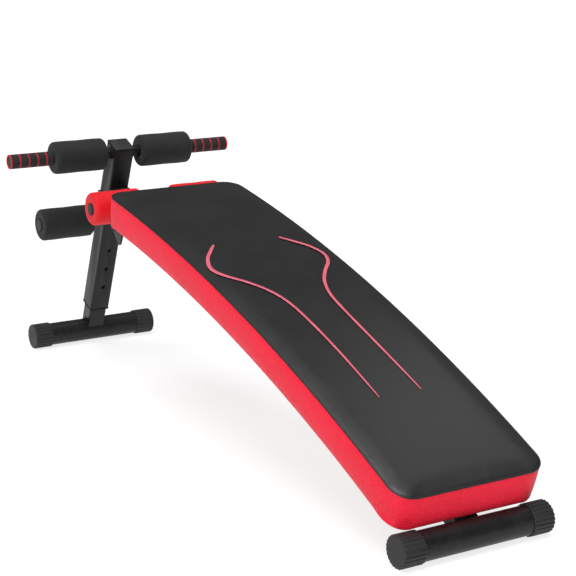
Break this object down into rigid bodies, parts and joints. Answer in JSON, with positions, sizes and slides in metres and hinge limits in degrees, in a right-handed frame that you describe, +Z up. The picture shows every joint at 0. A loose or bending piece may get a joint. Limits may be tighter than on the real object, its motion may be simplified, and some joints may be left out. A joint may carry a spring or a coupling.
{
  "type": "decline sit-up bench",
  "caption": "Folding decline sit-up bench: arched padded board on a low foot, and a leaning telescopic upright with foam leg rollers and hand grips.",
  "frame": {"origin": "on the floor, under the middle of the bench, halfway between the axes of the two foot tubes", "axes": "+X towards the low (head) end, +Y towards the right side seen from that end, +Z up"},
  "size_m": [1.686, 0.5756, 0.5576],
  "materials": {
    "black_steel": "black satin powder coat",
    "black_plastic": "moulded black plastic, fine texture",
    "black_foam": "matte closed-cell black foam",
    "red_foam": "matte closed-cell red foam",
    "black_vinyl": "black leathercloth with a soft sheen and two thin pink lines",
    "red_vinyl": "red leathercloth with a fine pebble grain",
    "plywood": "plain birch plywood",
    "zinc": "bright zinc plate"
  },
  "bodies": {
    "bench": {"main_tube": "black_steel", "end_stop": "black_plastic", "pad_plate_high": "black_steel", "pad_plate_mid": "black_steel", "pad_plate_low": "black_steel", "pad_bolt_1": "zinc", "pad_bolt_2": "zinc", "pad_bolt_3": "zinc", "pad_bolt_4": "zinc", "pad_bolt_5": "zinc", "pad_bolt_6": "zinc", "pad_board": "plywood", "pad_core": "red_vinyl", "pad_top": "black_vinyl", "low_cross_tube": "black_steel", "low_cap_left": "black_plastic", "low_cap_right": "black_plastic", "bench_bar": "black_steel", "bench_bar_plug_left": "black_plastic", "bench_bar_plug_right": "black_plastic", "pivot_bolt": "zinc", "pivot_washer_left": "zinc", "pivot_washer_right": "zinc", "pivot_nut": "zinc", "guide_bolt": "zinc", "bench_bar_saddle": "black_steel"},
    "upright": {"upright_tube": "black_steel", "upright_cap": "black_plastic", "pivot_bracket": "black_steel", "leg_bushing": "black_plastic", "top_bar": "black_steel", "grip_left": "black_foam", "grip_right": "black_foam", "grip_cap_left": "black_plastic", "grip_cap_right": "black_plastic", "lower_bar": "black_steel", "lower_bar_plug_left": "black_plastic", "lower_bar_plug_right": "black_plastic"},
    "leg": {"inner_leg": "black_steel", "snap_spring": "zinc", "foot_cross_tube": "black_steel", "foot_cap_left": "black_plastic", "foot_cap_right": "black_plastic"},
    "snap_button": {"snap_button": "black_plastic"},
    "lock_knob": {"lock_knob": "black_plastic"},
    "top_roller_left": {"top_roller_left": "black_foam"},
    "top_roller_right": {"top_roller_right": "black_foam"},
    "lower_roller_left": {"lower_roller_left": "black_foam"},
    "lower_roller_right": {"lower_roller_right": "black_foam"},
    "bench_roller_left": {"bench_roller_left": "red_foam"},
    "bench_roller_right": {"bench_roller_right": "red_foam"}
  },
  "joints": [
    {"name": "fold", "type": "hinge", "parent": "bench", "child": "upright", "pos_m": [-0.59199, 0, 0.41078], "axis": [0, -1, 0], "range_deg": [0, 98]},
    {"name": "height", "type": "slide", "parent": "upright", "child": "leg", "axis": [-0.3746, 0, -0.9272], "range_m": [0, 0.111]},
    {"name": "snap_button", "type": "slide", "parent": "leg", "child": "snap_button", "axis": [0.9272, 0, -0.3746], "range_m": [0, 0.006]},
    {"name": "lock_knob", "type": "hinge", "parent": "bench", "child": "lock_knob", "pos_m": [-0.53228, 0, 0.40488], "axis": [0, 1, 0], "range_deg": [0, 360]},
    {"name": "top_roller_left", "type": "hinge", "parent": "upright", "child": "top_roller_left", "pos_m": [-0.61012, 0, 0.51938], "axis": [0, 1, 0], "continuous": true},
    {"name": "top_roller_right", "type": "hinge", "parent": "upright", "child": "top_roller_right", "pos_m": [-0.61012, 0, 0.51938], "axis": [0, 1, 0], "continuous": true},
    {"name": "lower_roller_left", "type": "hinge", "parent": "upright", "child": "lower_roller_left", "pos_m": [-0.68493, 0, 0.3449], "axis": [0, 1, 0], "continuous": true},
    {"name": "lower_roller_right", "type": "hinge", "parent": "upright", "child": "lower_roller_right", "pos_m": [-0.68493, 0, 0.3449], "axis": [0, 1, 0], "continuous": true},
    {"name": "bench_roller_left", "type": "hinge", "parent": "bench", "child": "bench_roller_left", "pos_m": [-0.42572, 0, 0.42548], "axis": [0, 1, 0], "continuous": true},
    {"name": "bench_roller_right", "type": "hinge", "parent": "bench", "child": "bench_roller_right", "pos_m": [-0.42572, 0, 0.42548], "axis": [0, 1, 0], "continuous": true}
  ]
}
